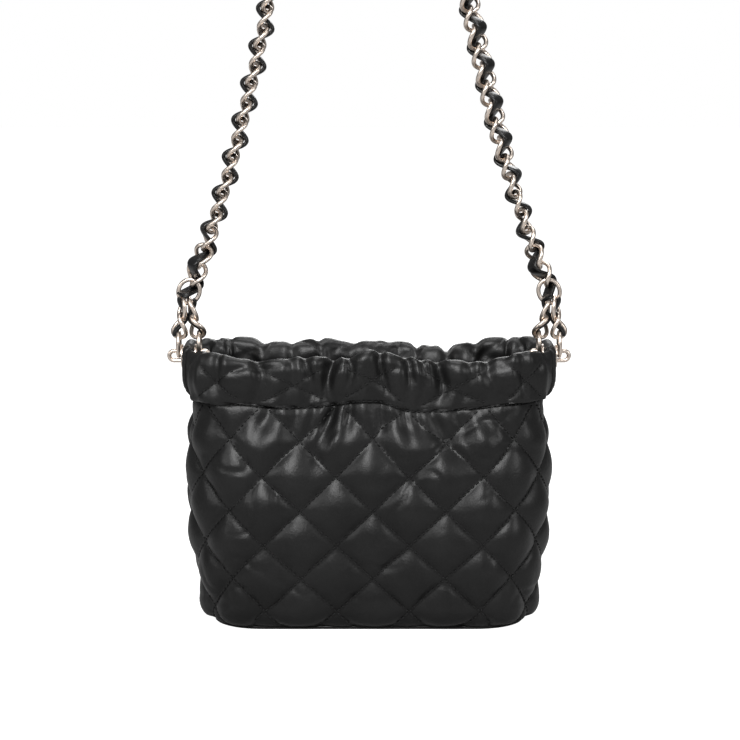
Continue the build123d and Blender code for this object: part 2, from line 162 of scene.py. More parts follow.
# ---- strap, as in the CAD source ----
CATENARY_A, CATENARY_Z, CATENARY_W, CATENARY_SLOPE = 66.93, 150.0, 111.5, 1.957
SHOULDER_HALF, JUNCTION_Z, LINKS_OVER = 30.0, 179.8, 68
WIRE_D, LINK_GAP, LINK_PLAY, SPLAY, EYELET_Z, EYELET_LINK_W = 2.4, 0.25, 0.45, 1.3, 144.5, 5.2
FLANGE_GAP = 0.3
END_LACE_WAVE, END_LACE_TURN = 2.6, 78.0
FOLD_AFTER_LINK = [0, 6, 15, 24]

# ---- lace, plumper than the plain one in the CAD source ----
LACE_W, LACE_T, LACE_WAVE, LACE_SIDES, LACE_STEPS = 7.6, 2.2, 5.0, 14, 18
LACE_START, FOLD_REACH = -0.35, 3.0
END_LACE_NARROW, END_LACE_PAST = 0.82, 0.62

# ---- stage, in metres: each lamp's name, place, power and side ----
FLOOR_HALF, FLOOR_CELLS = 6.0, 24
WORLD_LIGHT = 0.21
LAMP_TARGET = (0, 0, 0.12)
LAMPS = [
    ("key_light", (-0.2, -1.1, 1.0), 17.0, 0.6),
    ("top_light", (0.1, 0.1, 1.5), 8.5, 0.7),
    ("left_light", (-1.2, -0.9, 0.75), 4.0, 0.5),
    ("fill_light", (1.2, -0.9, 0.75), 5.0, 0.5),
    ("back_light", (0.2, 1.3, 1.0), 8.0, 0.7),
]
CAMERA_ELEVATION, CAMERA_DISTANCE, CAMERA_VIEW = 8.0, 1.35, 0.394
CAMERA_TARGET = (0.0005, -0.035, 0.1415)


# ================================================================ node materials

def new_material(name):
    """Material with a Principled shader, and shorthands to add and link nodes."""
    material = bpy.data.materials.new(name)
    material.use_nodes = True
    tree = material.node_tree
    shader = tree.nodes["Principled BSDF"]

    def add(kind, **settings):
        node = tree.nodes.new(kind)
        for key, value in settings.items():
            if key in node.inputs:
                node.inputs[key].default_value = value
            else:
                setattr(node, key, value)
        return node

    return material, shader, add, tree.links.new


def mottled(add, link, place, scale, low, high, detail=4.0):
    """Noise turned into a colour between two others."""
    spots = add("ShaderNodeTexNoise", Scale=scale, Detail=detail, Roughness=0.6)
    link(place.outputs["Object"], spots.inputs["Vector"])
    ramp = add("ShaderNodeValToRGB")
    ramp.color_ramp.elements[0].position = 0.3
    ramp.color_ramp.elements[1].position = 0.72
    ramp.color_ramp.elements[0].color = (*low, 1)
    ramp.color_ramp.elements[1].color = (*high, 1)
    link(spots.outputs["Fac"], ramp.inputs["Fac"])
    return ramp.outputs["Color"]


def leather(name, low, high, roughness, grain=900.0, grain_depth=0.2, crease_depth=0.22, coat=0.06):
    """Smooth black leather: pebbled grain, fine creases, patchy sheen and slightly worn high spots."""
    material, shader, add, link = new_material(name)
    place = add("ShaderNodeTexCoord")
    colour = mottled(add, link, place, 42.0, low, high)
    worn = add("ShaderNodeNewGeometry")
    edge = add("ShaderNodeMapRange", **{"From Min": 0.52, "From Max": 0.62, "To Min": 0.0, "To Max": 0.35})
    link(worn.outputs["Pointiness"], edge.inputs["Value"])
    mix = add("ShaderNodeMix", data_type="RGBA")
    link(edge.outputs["Result"], mix.inputs["Factor"])
    link(colour, mix.inputs["A"])
    mix.inputs["B"].default_value = (*[c * 2.4 for c in high], 1)
    link(mix.outputs["Result"], shader.inputs["Base Color"])
    patches = add("ShaderNodeTexNoise", Scale=70.0, Detail=5.0)
    link(place.outputs["Object"], patches.inputs["Vector"])
    gloss = add("ShaderNodeMapRange", **{"To Min": roughness - 0.07, "To Max": roughness + 0.1})
    link(patches.outputs["Fac"], gloss.inputs["Value"])
    link(gloss.outputs["Result"], shader.inputs["Roughness"])
    pebbles = add("ShaderNodeTexVoronoi", Scale=grain)
    pebbles.feature = "SMOOTH_F1"
    link(place.outputs["Object"], pebbles.inputs["Vector"])
    creases = add("ShaderNodeTexNoise", Scale=210.0, Detail=6.0, Distortion=1.4)
    link(place.outputs["Object"], creases.inputs["Vector"])
    fine = add("ShaderNodeBump", Strength=grain_depth, Distance=0.00025)
    link(pebbles.outputs["Distance"], fine.inputs["Height"])
    coarse = add("ShaderNodeBump", Strength=crease_depth, Distance=0.0006)
    link(creases.outputs["Fac"], coarse.inputs["Height"])
    link(fine.outputs["Normal"], coarse.inputs["Normal"])
    link(coarse.outputs["Normal"], shader.inputs["Normal"])
    shader.inputs["Specular IOR Level"].default_value = 0.28
    shader.inputs["Coat Weight"].default_value = coat
    shader.inputs["Coat Roughness"].default_value = 0.32
    return material


def metal(name, colour, roughness, scratch=0.06):
    """Plated metal with tarnish in patches and faint scratches."""
    material, shader, add, link = new_material(name)
    place = add("ShaderNodeTexCoord")
    dull = [c * 0.86 for c in colour]
    link(mottled(add, link, place, 160.0, dull, colour), shader.inputs["Base Color"])
    shader.inputs["Metallic"].default_value = 1.0
    patches = add("ShaderNodeTexNoise", Scale=420.0, Detail=5.0)
    link(place.outputs["Object"], patches.inputs["Vector"])
    gloss = add("ShaderNodeMapRange", **{"To Min": roughness, "To Max": roughness + 0.16})
    link(patches.outputs["Fac"], gloss.inputs["Value"])
    link(gloss.outputs["Result"], shader.inputs["Roughness"])
    marks = add("ShaderNodeTexNoise", Scale=1500.0, Detail=3.0)
    link(place.outputs["Object"], marks.inputs["Vector"])
    bump = add("ShaderNodeBump", Strength=scratch, Distance=0.0002)
    link(marks.outputs["Fac"], bump.inputs["Height"])
    link(bump.outputs["Normal"], shader.inputs["Normal"])
    return material


def fabric(name, low, high, threads=1500.0, roughness=0.85, sheen=0.25):
    """Woven cloth: two crossed sets of threads, uneven dye and a little sheen."""
    material, shader, add, link = new_material(name)
    place = add("ShaderNodeTexCoord")
    link(mottled(add, link, place, 240.0, low, high), shader.inputs["Base Color"])
    waves = []
    for direction in ("X", "Z"):
        wave = add("ShaderNodeTexWave", Scale=threads / 6.0, Distortion=0.6)
        wave.bands_direction = direction
        link(place.outputs["Object"], wave.inputs["Vector"])
        waves.append(wave)
    weave = add("ShaderNodeMath", operation="MULTIPLY")
    link(waves[0].outputs["Fac"], weave.inputs[0])
    link(waves[1].outputs["Fac"], weave.inputs[1])
    bump = add("ShaderNodeBump", Strength=0.5, Distance=0.0003)
    link(weave.outputs["Value"], bump.inputs["Height"])
    link(bump.outputs["Normal"], shader.inputs["Normal"])
    shade = add("ShaderNodeMapRange", **{"To Min": roughness - 0.1, "To Max": roughness + 0.08})
    link(waves[0].outputs["Fac"], shade.inputs["Value"])
    link(shade.outputs["Result"], shader.inputs["Roughness"])
    shader.inputs["Sheen Weight"].default_value = sheen
    shader.inputs["Sheen Roughness"].default_value = 0.4
    return material


LEATHER = leather("black_lambskin", (0.004, 0.004, 0.004), (0.010, 0.010, 0.010), 0.38)
TRIM_LEATHER = leather("black_trim_leather", (0.005, 0.005, 0.005), (0.009, 0.009, 0.009), 0.38, coat=0.1)
LACE_LEATHER = leather("black_lace_leather", (0.004, 0.004, 0.004), (0.008, 0.008, 0.008), 0.26,
                       grain=1300.0, grain_depth=0.15, crease_depth=0.15, coat=0.2)
THREAD = fabric("waxed_black_thread", (0.001, 0.001, 0.001), (0.003, 0.003, 0.003), 5200.0, 0.7, 0.0)
LINING = fabric("black_twill_lining", (0.012, 0.012, 0.013), (0.022, 0.022, 0.024))
TAPE = fabric("black_zip_tape", (0.010, 0.010, 0.011), (0.018, 0.018, 0.020), 2600.0)
ELASTIC = fabric("braided_elastic", (0.60, 0.60, 0.58), (0.74, 0.74, 0.71), 2000.0)
BOARD = fabric("salpa_board", (0.16, 0.15, 0.13), (0.24, 0.22, 0.20), 700.0, 0.9)
PALE_GOLD = metal("pale_gold_plate", (0.88, 0.77, 0.68), 0.24)
DARK_METAL = metal("satin_plated_metal", (0.55, 0.51, 0.47), 0.3, 0.15)


# ================================================================ mesh helpers

def smooth_table(at, table):
    """Smooth curve through a table's rows (first column ascending), read at the places given."""
    x = table[:, 0]
    slopes = np.gradient(table[:, 1:], x, axis=0)
    at = np.clip(at, x[0], x[-1])
    i = np.clip(np.searchsorted(x, at, side="right") - 1, 0, len(x) - 2)
    span = x[i + 1] - x[i]
    t = ((at - x[i]) / span)[:, None]
    span = span[:, None]
    low, high = table[i, 1:], table[i + 1, 1:]
    return (
        (2 * t ** 3 - 3 * t ** 2 + 1) * low
        + (t ** 3 - 2 * t ** 2 + t) * span * slopes[i]
        + (3 * t ** 2 - 2 * t ** 3) * high
        + (t ** 3 - t ** 2) * span * slopes[i + 1]
    )


def ease(value, low=0.0, high=1.0):
    """Smooth step from 0 at low to 1 at high."""
    t = np.clip((np.asarray(value, float) - low) / (high - low), 0, 1)
    return t * t * (3 - 2 * t)


def plan_point(u, half_w, half_d, corner):
    """Points of a rounded rectangle for distances round the bag; the sizes may be arrays."""
    u = np.mod(u, ROUND)
    quarter = np.minimum((u / QUARTER).astype(int), 3)
    v = u - quarter * QUARTER
    v = np.where(quarter % 2 == 1, QUARTER - v, v)
    turn = np.clip((v - FRONT_HALF) / CORNER_ARC, 0, 1) * math.pi / 2
    side = np.clip((v - FRONT_HALF - CORNER_ARC) / (QUARTER - FRONT_HALF - CORNER_ARC), 0, 1)
    x = np.clip(v / FRONT_HALF, 0, 1) * (half_w - corner) + corner * np.sin(turn)
    y = (half_d - corner) * (1 - side) + corner * np.cos(turn)
    x = np.where(quarter >= 2, -x, x)
    y = np.where((quarter == 0) | (quarter == 3), -y, y)
    return x, y


def grid_normals(points):
    """Unit normals of a grid of points, with rows up the bag and columns all the way round it."""
    up = np.gradient(points, axis=0)
    across = np.roll(points, -1, axis=1) - np.roll(points, 1, axis=1)
    normals = np.cross(across, up)
    return normals / np.maximum(np.linalg.norm(normals, axis=2, keepdims=True), 1e-9)


def make_object(name, points, faces, material, body="bag", replaces=()):
    """Mesh object from millimetre points, smooth shaded, riding on a body."""
    mesh = bpy.data.meshes.new(name)
    mesh.from_pydata([tuple(p) for p in np.asarray(points, float) * MM], [], faces)
    mesh.validate()
    mesh.polygons.foreach_set("use_smooth", [True] * len(mesh.polygons))
    mesh.materials.append(material)
    piece = bpy.data.objects.new(name, mesh)
    bpy.context.scene.collection.objects.link(piece)
    if body:
        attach(piece, body)
    if replaces:
        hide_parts(*replaces)
    return piece


def tube_faces(rings, sides):
    """Faces of a closed tube: rings of sides points each, with its two end caps."""
    faces = []
    for i in range(rings - 1):
        for j in range(sides):
            k = (j + 1) % sides
            faces.append((i * sides + j, i * sides + k, (i + 1) * sides + k, (i + 1) * sides + j))
    faces.append(tuple(reversed(range(sides))))
    faces.append(tuple(range((rings - 1) * sides, rings * sides)))
    return faces


def wavering(u, z, size, seed):
    """Smooth random values from -1 to 1 over the bag's surface, the same all the way round."""
    turn = np.asarray(u, float) / ROUND * 2 * math.pi
    reach = ROUND / (2 * math.pi) / size
    z = np.asarray(z, float) / size + seed
    flat = zip((np.cos(turn) * reach).ravel(), (np.sin(turn) * reach).ravel(), z.ravel())
    return np.array([noise.noise(Vector(p)) for p in flat]).reshape(turn.shape)


# ================================================================ the bag's surface

COLUMNS = 368
WALL_ROWS = 92
RIM_ROWS = 52
UNDER_SEAM_ROW = WALL_ROWS - 4
U = np.arange(COLUMNS) * ROUND / COLUMNS


def side_share(u):
    """1 beside a side tab, 0 away from it."""
    from_side = np.abs(np.mod(u, 2 * QUARTER) - QUARTER)
    return 1 - ease(from_side, *SIDE_BAND)


def from_middle(u):
    """Signed distance from the middle of the front, or of the back, whichever is nearer."""
    return np.mod(u + QUARTER, 2 * QUARTER) - QUARTER


def is_front(u):
    """Whether a place round the bag is on its front half."""
    u = np.mod(u, ROUND)
    return (u < QUARTER) | (u >= 3 * QUARTER)


def gathered(u, height):
    """Place round the bag where leather cut at u ends up: the elastic draws it to the middle."""
    near = from_middle(u)
    pull = DRAW_PULL * near * np.exp(-((near / DRAW_WIDTH) ** 2))
    return u - pull * ease(height, DRAW_FROM_Z, SEAM_Z)


def bare_surface():
    """The sewn shape with no puffs or gathers: its points, and the level of each row."""
    wall_z = FOOT_Z + (SEAM_Z - FOOT_Z) * np.linspace(0, 1, WALL_ROWS)
    rows, levels = [], list(wall_z)
    for z, (half_w, half_d, corner) in zip(wall_z, smooth_table(wall_z, SECTIONS)):
        inset = GROOVE_INSET * ease(z, 0.0, 6.0) * (1 - INSET_LOSS_AT_SEAM * ease(z, 108.0, SEAM_Z))
        x, y = plan_point(gathered(U, z), half_w - inset, half_d - inset, corner - inset)
        rows.append(np.stack([x, y, np.full(COLUMNS, z)], 1))
    steps = np.linspace(0, 1, len(RIM_FRONT))
    along = np.linspace(0, 1, RIM_ROWS + 1)[1:]
    front = smooth_table(along, np.column_stack([steps, RIM_FRONT]))
    side = smooth_table(along, np.column_stack([steps, RIM_SIDE]))
    at_seam = gathered(U, SEAM_Z)
    share = side_share(at_seam)[:, None]
    half_w, half_d, corner = RIM_PLAN
    travel, before = 0.0, RIM_FRONT[0]
    for on_front, on_side in zip(front, side):
        inward, z = (on_front * (1 - share) + on_side * share).T
        x, y = plan_point(at_seam, half_w - inward, half_d - inward, corner - inward)
        rows.append(np.stack([x, y, z], 1))
        travel += float(np.hypot(*(on_front - before)))
        before = on_front
        levels.append(SEAM_Z + travel * RIM_LEVEL_RISE)
    return np.array(rows), np.array(levels)


def lattice(u, level):
    """How far a place is along the two families of quilting lines; whole numbers are on a line."""
    across, up = (u - DIAMOND_U) / DIAMOND_W, (level - DIAMOND_Z) / DIAMOND_H
    return across + up, across - up


def puff_height(u, level):
    """Height of the quilted leather over its stitched lines."""
    p, q = lattice(u, level)
    p = p + LINE_WANDER * wavering(u, level, 26.0, 3.0)
    q = q + LINE_WANDER * wavering(u, level, 26.0, 9.0)
    crown = np.abs(np.sin(math.pi * p) * np.sin(math.pi * q)) ** PUFF_ROUNDNESS
    on_wall = ease(level, 0.0, 6.0) * (1 - PUFF_LOSS_AT_SEAM * ease(level, 98.0, SEAM_Z))
    in_rim = ease(level, 119.0, 139.0)
    full = on_wall * (1 - in_rim) + PUFF_IN_RIM * in_rim
    plump = 1 + PUFF_VARIES * wavering(u, level, 34.0, 5.0)
    return PUFF * full * plump * crown


def rim_share(level):
    """How far round the rim roll a row is: 0 at the seam, 1 at the hem inside the mouth."""
    return np.clip((level - SEAM_Z) / (TOP_LEVEL - SEAM_Z), 0, 1)


def fold_depth(u, level):
    """Depth of the gathers that the elastic draws, in the rim and below its seam."""
    near = from_middle(u)
    total = np.zeros_like(near)
    above = level > SEAM_Z
    drop = np.maximum(SEAM_Z - level, 0)
    climb = ease(rim_share(level), 0.0, 0.28)
    widening = np.where(above, 1.5 - 0.5 * climb, 1 + drop / 20.0)
    shallow_at_seam = 1 - 0.5 * np.exp(-((drop / 6.0) ** 2))
    for folds, here in ((FRONT_FOLDS, is_front(u)), (BACK_FOLDS, ~is_front(u))):
        for place, depth, width, lean, reach in folds:
            sway = FOLD_SWAY * np.sin(level / 9.0 + place) * above
            offset = near - place / DRAWN + lean * FULL_LEAN * drop - sway
            weight = np.where(above, 0.3 + 0.7 * climb, np.exp(-drop / reach) * shallow_at_seam)
            total += here * depth * weight * np.exp(-((offset / (width * widening)) ** 2))
    return total * (1 - side_share(u))


def gather_shift(u, level, outward):
    """How the gathers move the leather: in and out on the level, and down along the rim's top."""
    depth = fold_depth(u, level)
    share = rim_share(level)
    inward = 1 - 0.55 * ease(share, 0.45, 0.75)
    sink = FOLD_SINK * np.exp(-(((share - 0.52) / 0.17) ** 2))
    wave = RIM_WAVE * wavering(u, level * 0.25, 13.0, 51.0)
    wave += RIM_RIPPLE * wavering(u, level * 0.3, 7.0, 55.0)
    wave *= ease(level, 94.0, 126.0) * (1 - side_share(u)) * (1 - 0.6 * ease(share, 0.5, 0.8))
    shift = outward * (wave - depth * inward)[:, :, None]
    shift[:, :, 2] -= depth * sink
    return shift


def wrinkle_height(u, level):
    """Unevenness of the leather: ruffles by the elastic, soft waves, puckers and sharp creases."""
    inner_face = ease(rim_share(level), 0.46, 0.66)
    by_elastic = ease(level, 86.0, 120.0) * np.exp(-((from_middle(u) / 70.0) ** 2))
    ruffles = wavering(u, level * 0.25, 8.5, 21.0) + 0.35 * wavering(u, level * 0.35, 4.6, 27.0)
    height = RUFFLE * by_elastic * ruffles * (1 - 1.5 * inner_face)
    height += SOFT_WAVE * wavering(u, level, 15.0, 31.0) + PUCKER * wavering(u, level, 5.0, 35.0)
    crease_lines = np.exp(-((wavering(u, level, 19.0, 81.0) / 0.09) ** 2))
    creased = ease(wavering(u, level, 37.0, 91.0), -0.05, 0.3) * ease(level, 8, 24)
    return height - CREASE * crease_lines * creased


def groove_depth(u, level):
    """Depth of the grooves along the rim's seam and down the two side seams."""
    rim_seam = np.exp(-(((level - SEAM_Z) / 1.9) ** 2))
    from_side = np.abs(np.mod(u, 2 * QUARTER) - QUARTER)
    side_seam = np.exp(-((from_side / 1.6) ** 2)) * (level <= SEAM_Z) * ease(level, 2, 10)
    return RIM_SEAM_GROOVE * rim_seam + SIDE_SEAM_GROOVE * side_seam


def along_x(table_front, table_back, u):
    """A table of values along X, read at places round the bag on its front or back half."""
    near = from_middle(u) * np.where(is_front(u), 1, -1)
    front, back = np.array(table_front, float), np.array(table_back, float)
    shape = near.shape
    low, high = smooth_table(near.ravel(), front)[:, 0], smooth_table(near.ravel(), back)[:, 0]
    return np.where(is_front(u), low.reshape(shape), high.reshape(shape))


def quilted_surface():
    """The whole leather surface: points, normals of the bare shape, and the level of each row."""
    bare, levels = bare_surface()
    u, level = np.meshgrid(U, levels)
    seam_rise = along_x(FRONT_SEAM, BACK_SEAM, u) * ease(level, 80.0, SEAM_Z)
    top_rise = (along_x(FRONT_TOP, BACK_TOP, u) - RIM_BASE_TOP) * (1 - side_share(u))
    climb = ease(bare[:, :, 2], SEAM_Z, 142.0) * (level > SEAM_Z)
    bare[:, :, 2] += seam_rise * (1 - climb) + top_rise * climb
    normals = grid_normals(bare)
    outward = normals[UNDER_SEAM_ROW] * (1, 1, 0)
    outward = np.broadcast_to(outward / np.linalg.norm(outward, axis=1)[:, None], normals.shape)
    sag = SAG * wavering(u, level, 62.0, 41.0) * ease(level, 10, 40)
    calm = 1 - side_share(u) * (level > SEAM_Z)
    lift = (puff_height(u, level) + wrinkle_height(u, level) + sag) * calm - groove_depth(u, level)
    points = bare + normals * lift[:, :, None] + gather_shift(u, level, outward)
    return points, normals, levels


TOP_LEVEL = float(bare_surface()[1][-1])
SURFACE, NORMALS, LEVELS = quilted_surface()


def surface_at(u, level, lift):
    """Points lifted off the finished leather at places round the bag and levels."""
    column = np.mod(np.asarray(u, float), ROUND) / ROUND * COLUMNS
    row = np.interp(level, LEVELS, np.arange(len(LEVELS)))
    c0, r0 = np.floor(column).astype(int), np.minimum(np.floor(row).astype(int), len(LEVELS) - 2)
    cf, rf = (column - c0)[:, None], (row - r0)[:, None]
    c0, c1 = c0 % COLUMNS, (c0 + 1) % COLUMNS

    def read(grid):
        low = grid[r0, c0] * (1 - cf) + grid[r0, c1] * cf
        high = grid[r0 + 1, c0] * (1 - cf) + grid[r0 + 1, c1] * cf
        return low * (1 - rf) + high * rf

    return read(SURFACE) + read(NORMALS) * lift


def half_columns(front):
    """Column numbers of the front or back half, seam to seam."""
    start = round(3 * QUARTER / ROUND * COLUMNS) if front else round(QUARTER / ROUND * COLUMNS)
    return [(start + i) % COLUMNS for i in range(COLUMNS // 2 + 1)]


def closed_band(loops):
    """Points and faces of a solid whose cross-sections, side seam to side seam, are closed loops."""
    loops = np.array(loops)
    return loops.reshape(-1, 3), tube_faces(*loops.shape[:2])


def make_panel(name, front, nodes):
    """Front or back quilted panel: the puffed leather outside and its padding's flat inner face."""
    inner_z = np.linspace(PADDING_SPAN[1], PADDING_SPAN[0], PADDING_ROWS)
    sizes = smooth_table(inner_z, SECTIONS)
    loops = []
    for c in half_columns(front):
        x, y = plan_point(gathered(U[c], inner_z), *(sizes.T - INNER_INSET))
        inside = np.stack([x, y, inner_z], 1)
        loops.append(np.vstack([SURFACE[:WALL_ROWS, c], inside]))
    points, faces = closed_band(loops)
    piece = make_object(name, points, faces, LEATHER, replaces=nodes)


def make_rim(name, front, nodes):
    """Front or back half of the gathered rim roll."""
    loops = [SURFACE[WALL_ROWS - 1:, c] for c in half_columns(front)]
    points, faces = closed_band(loops)
    piece = make_object(name, points, faces, LEATHER, replaces=nodes)


# ================================================================ stitches

def stitch_mesh(starts, ends, radius, sides=6):
    """Short plump threads between pairs of points, as one mesh."""
    profile = [(0.0, 0.35), (0.16, 0.9), (0.5, 1.0), (0.84, 0.9), (1.0, 0.35)]
    points, faces = [], []
    for start, end in zip(starts, ends):
        axis = end - start
        length = np.linalg.norm(axis)
        if length < 1e-6:
            continue
        axis = axis / length
        side = np.cross(axis, (0.3, 0.5, 0.81))
        side = side / np.linalg.norm(side)
        other = np.cross(axis, side)
        base = len(points)
        for share, size in profile:
            for k in range(sides):
                turn = 2 * math.pi * k / sides
                ring = (side * math.cos(turn) + other * math.sin(turn)) * radius * size
                points.append(start + axis * length * share + ring)
        faces += [tuple(base + i for i in f) for f in tube_faces(len(profile), sides)]
    return points, faces


def quilting_stitches(front):
    """Stitches sunk in the quilting lines of one half, below and above the rim's seam."""
    starts, ends = [], []
    slope = DIAMOND_W / DIAMOND_H
    rise = 1 / math.hypot(slope, 1)
    below = np.arange(5.0, SEAM_Z - 3, STITCH_PITCH * rise)
    above = np.arange(SEAM_Z + 6, SEAM_Z + 30, STITCH_PITCH * rise * 1.15)
    level = np.concatenate([below, above])
    stitch = QUILT_STITCH * rise
    for m in range(DIAMONDS_ROUND):
        for way in (-1, 1):
            u = DIAMOND_U + DIAMOND_W * m + way * slope * (level - DIAMOND_Z)
            keep = is_front(u) == front
            keep &= ~((level > SEAM_Z) & (side_share(u) > 0.3))
            far_u, far_level = u + way * slope * stitch, level + stitch
            starts += list(surface_at(u, level, QUILT_THREAD_LIFT)[keep])
            ends += list(surface_at(far_u, far_level, QUILT_THREAD_LIFT)[keep])
    return starts, ends


def seam_stitches(front):
    """Stitches of the seam under the rim roll."""
    u = np.arange(0, ROUND, STITCH_PITCH)
    u = u[is_front(u) == front]
    level = np.full(len(u), SEAM_Z)
    starts = surface_at(u, level, SEAM_THREAD_LIFT)
    ends = surface_at(u + SEAM_STITCH, level, SEAM_THREAD_LIFT)
    return list(starts), list(ends)


def make_stitching(name, front):
    """All the thread of one half as one piece."""
    quilt, seam = quilting_stitches(front), seam_stitches(front)
    points, faces = stitch_mesh(quilt[0] + seam[0], quilt[1] + seam[1], THREAD_R)
    make_object(name, points, faces, THREAD)


# ================================================================ inside, base and tabs

def make_lining(name, front, node):
    """Lining of one half: a thin slack cloth inside the padding."""
    heights = np.linspace(*LINING_SPAN, LINING_ROWS)
    sizes = smooth_table(heights, SECTIONS)
    loops = []
    for c in half_columns(front)[::2]:
        u = np.full(len(heights), U[c])
        slack = 0.25 + 0.35 * wavering(u, heights, 15.0, 61.0) * ease(heights, 8, 30)
        outer = plan_point(gathered(u, heights), *(sizes.T - INNER_INSET - 0.1))
        inner = plan_point(gathered(u, heights), *(sizes.T - INNER_INSET - 0.55 - slack))
        loops.append(np.vstack([np.stack([*outer, heights], 1), np.stack([*inner, heights], 1)[::-1]]))
    points, faces = closed_band(loops)
    piece = make_object(name, points, faces, LINING, replaces=[node])


def sheet_faces(solid):
    """Faces and edges of a thin sheet on a grid's solid cells; the rear side's points follow the front's."""
    wide, count = solid.shape[1] + 1, (solid.shape[0] + 1) * (solid.shape[1] + 1)
    solid = np.pad(solid, 1)
    faces = []
    for i, j in zip(*np.nonzero(solid)):
        a = (i - 1) * wide + j - 1
        b, c, d = a + 1, a + wide + 1, a + wide
        faces += [(a, b, c, d), tuple(k + count for k in (d, c, b, a))]
        borders = {(i - 1, j): (a, b), (i, j + 1): (b, c), (i + 1, j): (c, d), (i, j - 1): (d, a)}
        for beside, (start, end) in borders.items():
            if not solid[beside]:
                faces.append((end, start, start + count, end + count))
    return faces


def make_pocket():
    """Pocket panel on the back lining: thin cloth, pulled a little by its border, with the zip's window."""
    x = np.linspace(-POCKET_HALF, POCKET_HALF, POCKET_COLUMNS)
    z = np.linspace(*POCKET_SPAN, POCKET_ROWS)
    grid_x, grid_z = np.meshgrid(x, z)
    from_border = np.minimum(POCKET_HALF - np.abs(grid_x), grid_z - POCKET_SPAN[0])
    free = ease(from_border, 1.5, 9.0) * ease(ZIP_Z - grid_z, 5.0, 14.0)
    slack = free * (0.25 + 0.3 * wavering(grid_x, grid_z, 13.0, 101.0))
    face = np.stack([grid_x, POCKET_Y - slack, grid_z], 2)
    rear = np.stack([grid_x, POCKET_Y + POCKET_T - 0.9 * slack, grid_z], 2)
    cells_x, cells_z = (x[1:] + x[:-1]) / 2, (z[1:] + z[:-1]) / 2
    in_window_x = np.abs(cells_x)[None, :] < WINDOW_HALF_W
    in_window_z = np.abs(cells_z - ZIP_Z)[:, None] < WINDOW_HALF_H
    faces = sheet_faces(~(in_window_x & in_window_z))
    points = np.vstack([face.reshape(-1, 3), rear.reshape(-1, 3)])
    piece = make_object("pocket_cloth", points, faces, LINING, replaces=["pocket_panel"])
    along = np.arange(-POCKET_HALF + 2, POCKET_HALF - 4, POCKET_PITCH)
    hems = (POCKET_SPAN[0] + POCKET_HEM, POCKET_SPAN[1] - POCKET_HEM)
    starts = [np.array([place, POCKET_Y - 0.1, hem]) for place in along for hem in hems]
    ends = [start + (POCKET_STITCH, 0, 0) for start in starts]
    points, faces = stitch_mesh(starts, ends, POCKET_THREAD_R)
    make_object("pocket_stitches", points, faces, THREAD)


def layered_plate(name, rings, material, node, wobble=0.0):
    """Closed plate from rings given as an inset from the lowest section's outline and a height."""
    u = np.arange(PLATE_COLUMNS) * ROUND / PLATE_COLUMNS
    half_w, half_d, corner = SECTIONS[0, 1:]
    points = []
    for inset, z in rings:
        x, y = plan_point(u, half_w - inset, half_d - inset, max(corner - inset, 2.0))
        height = z + wobble * wavering(u + inset, np.full(PLATE_COLUMNS, z), 22.0, 71.0)
        points.append(np.stack([x, y, height], 1))
    faces = tube_faces(len(rings), PLATE_COLUMNS)
    return make_object(name, np.vstack(points), faces, material, replaces=[node])


def make_base():
    """Leather under the bag, and the cloth that covers the board inside it."""
    layered_plate("base_panel", BASE_RINGS, TRIM_LEATHER, "base_leather")
    cloth = layered_plate("base_lining_cloth", BASE_LINING_RINGS, LINING, "base_lining",
                          wobble=0.25)


def make_tab(name, side, node):
    """Smooth leather patch folded over the rim at one side, round-cornered, with its edge turned."""
    across = np.linspace(-1, 1, TAB_COLUMNS)
    turned = np.clip((1 - np.abs(across)) / TAB_EDGE, 0, 1)
    middle = QUARTER if side > 0 else 3 * QUARTER
    outer, inner = [], []
    for i in range(TAB_ROWS):
        row = WALL_ROWS + 1 + i
        near_end = min(i, TAB_ROWS - 1 - i) / TAB_CORNER_ROWS
        half = TAB_HALF - TAB_CORNER * (1 - min(near_end, 1.0)) ** 2
        column = (middle + across * half) / ROUND * COLUMNS
        low = np.floor(column).astype(int)
        part = (column - low)[:, None]
        low, high = low % COLUMNS, (low + 1) % COLUMNS
        base = SURFACE[row, low] * (1 - part) + SURFACE[row, high] * part
        up = NORMALS[row, low] * (1 - part) + NORMALS[row, high] * part
        rounding = np.sqrt(1 - (1 - turned) ** 2) * (0.25 + 0.75 * min(near_end * 2, 1.0))
        outer.append(base + up * (TAB_LIFT + TAB_T * rounding)[:, None])
        inner.append(base - up * 0.1)
    outer, inner = np.array(outer), np.array(inner)
    loops = [np.vstack([outer[:, j], inner[::-1, j]]) for j in range(TAB_COLUMNS)]
    points, faces = closed_band(loops)
    make_object(name, points, faces, TRIM_LEATHER, replaces=[node])
    sewn = [(i, j) for j in TAB_SEWN_COLUMNS for i in TAB_SEWN_ROWS]
    starts, ends = [outer[i, j] for i, j in sewn], [outer[i + 2, j] for i, j in sewn]
    points, faces = stitch_mesh(starts, ends, TAB_THREAD_R)
    make_object(name + "_stitches", points, faces, THREAD)


def make_elastic(name, front, node):
    """Drawn-up elastic inside the rim roll: a ribbon half way between the roll's outer and inner faces."""
    columns = half_columns(front)[ELASTIC_END:-ELASTIC_END]
    outer = SURFACE[WALL_ROWS + ELASTIC_OUTER_ROW, columns]
    inner = SURFACE[WALL_ROWS + ELASTIC_INNER_ROW, columns]
    middle = (outer + inner) / 2
    inward = (inner - outer) * (1, 1, 0)
    inward = inward / np.linalg.norm(inward, axis=1)[:, None] * (ELASTIC_T / 2)
    up = np.array((0, 0, ELASTIC_H / 2))
    loops = [[m - d - up, m + d - up, m + d + up, m - d + up] for m, d in zip(middle, inward)]
    points, faces = closed_band(loops)
    make_object(name, points, faces, ELASTIC, replaces=[node])


# ================================================================ strap

def rise(z):
    """Slope of the catenary at a height."""
    q = math.hypot(1, CATENARY_SLOPE) + (z - CATENARY_Z) / CATENARY_A
    return math.sqrt(q * q - 1)


